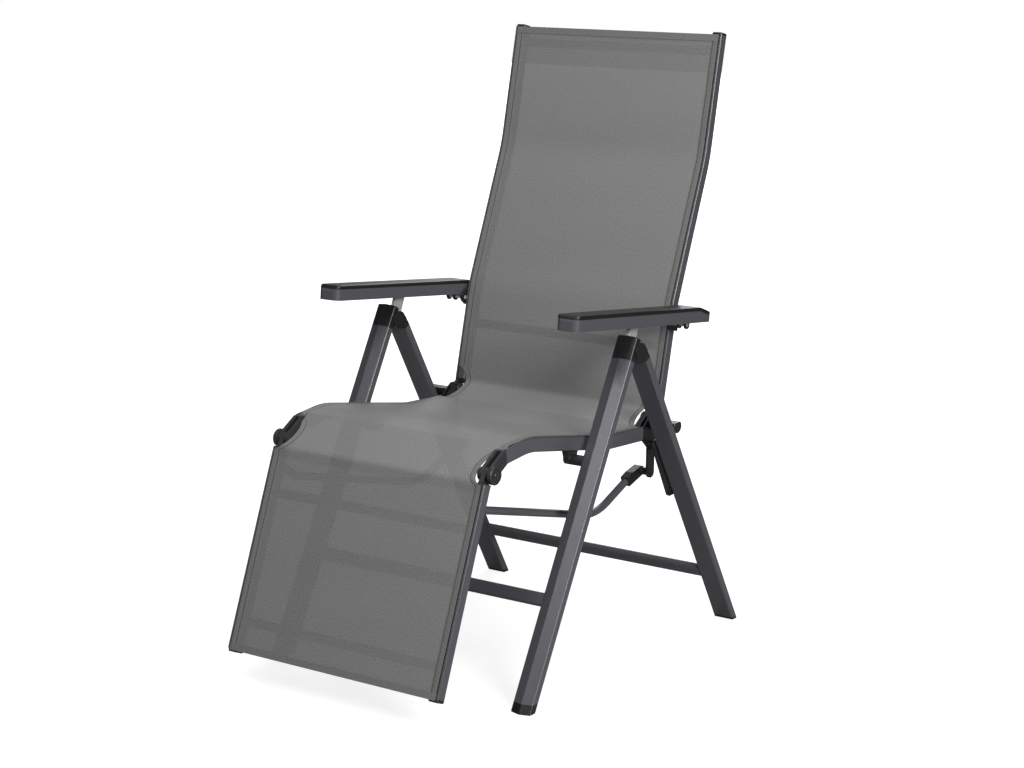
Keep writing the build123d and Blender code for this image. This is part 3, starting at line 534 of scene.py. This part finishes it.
# Floor, light and camera: the floor glows white to the camera, more so further out
stage = {"reach": 12, "drop": -0.0005, "glowNear": 0.78, "glowPerMetre": 0.12, "sky": 0.08}
floorMaterial = bpy.data.materials.new("floorPaint")
floorMaterial.use_nodes = True
floorBody = floorMaterial.node_tree.nodes["Principled BSDF"]
floorBody.inputs["Base Color"].default_value = (0.3, 0.3, 0.3, 1)
floorBody.inputs["Roughness"].default_value = 0.9
floorBody.inputs["Emission Color"].default_value = (1, 1, 1, 1)
floorTree = floorMaterial.node_tree
floorRay = floorTree.nodes.new("ShaderNodeLightPath")
floorPlace = floorTree.nodes.new("ShaderNodeTexCoord")
floorReach = floorTree.nodes.new("ShaderNodeVectorMath")
floorReach.operation = "LENGTH"
floorTree.links.new(floorPlace.outputs["Object"], floorReach.inputs[0])
floorRise = mathNode(floorTree, "MULTIPLY", floorReach.outputs["Value"], stage["glowPerMetre"])
floorGlow = mathNode(floorTree, "ADD", floorRise, stage["glowNear"])
floorTree.links.new(mathNode(floorTree, "MULTIPLY", floorRay.outputs["Is Camera Ray"], floorGlow),
                    floorBody.inputs["Emission Strength"])
floorMesh = bpy.data.meshes.new("floor")
bm = bmesh.new()
bmesh.ops.create_grid(bm, x_segments=1, y_segments=1, size=stage["reach"])
bm.to_mesh(floorMesh)
bm.free()
floorMesh.materials.append(floorMaterial)
floor = bpy.data.objects.new("floor", floorMesh)
floor.location = (0, 0, stage["drop"])
bpy.context.scene.collection.objects.link(floor)

world = bpy.data.worlds.new("sky")
world.use_nodes = True
skyTree = world.node_tree
plain = skyTree.nodes["Background"]
plain.inputs["Color"].default_value = (1, 1, 1, 1)
plain.inputs["Strength"].default_value = stage["sky"]
seen = skyTree.nodes.new("ShaderNodeBackground")
seen.inputs["Color"].default_value = (1, 1, 1, 1)
seen.inputs["Strength"].default_value = 1.0
ray = skyTree.nodes.new("ShaderNodeLightPath")
choose = skyTree.nodes.new("ShaderNodeMixShader")
skyTree.links.new(ray.outputs["Is Camera Ray"], choose.inputs[0])
skyTree.links.new(plain.outputs[0], choose.inputs[1])
skyTree.links.new(seen.outputs[0], choose.inputs[2])
skyTree.links.new(choose.outputs[0], skyTree.nodes["World Output"].inputs["Surface"])
bpy.context.scene.world = world

lights = {
    "key": {"at": (3.0, -1.6, 2.0), "toward": (0, 0, 0.5), "size": 1.1, "power": 130},
    "front": {"at": (0.2, -2.6, 2.5), "toward": (0.1, 0, 0.4), "size": 0.7, "power": 19},
    "back": {"at": (-1.4, 3.2, 2.2), "toward": (0, 0, 0.5), "size": 2.0, "power": 45},
    "fill": {"at": (-2.4, -2.6, 2.2), "toward": (0, 0, 0.5), "size": 2.5, "power": 6},
    "top": {"at": (0.2, 0.3, 3.6), "toward": (0, 0, 0.3), "size": 2.0, "power": 75},
}
for name, light in lights.items():
    lamp = bpy.data.lights.new(name, "AREA")
    lamp.size = light["size"]
    lamp.energy = light["power"]
    holder = bpy.data.objects.new(name, lamp)
    holder.location = light["at"]
    aim = Vector(light["toward"]) - Vector(light["at"])
    holder.rotation_euler = aim.to_track_quat("-Z", "Y").to_euler()
    bpy.context.scene.collection.objects.link(holder)

view = {"at": (2.4692, -3.3007, 1.3550), "tip": 78.13, "turn": 36.10, "lens": 82.74, "sensor": 36}
camera = bpy.data.cameras.new("camera")
camera.lens = view["lens"]
camera.sensor_width = view["sensor"]
eye = bpy.data.objects.new("camera", camera)
eye.location = view["at"]
eye.rotation_euler = (math.radians(view["tip"]), 0, math.radians(view["turn"]))
bpy.context.scene.collection.objects.link(eye)
bpy.context.scene.camera = eye
bpy.context.scene.view_settings.view_transform = "Standard"
print("stage set")
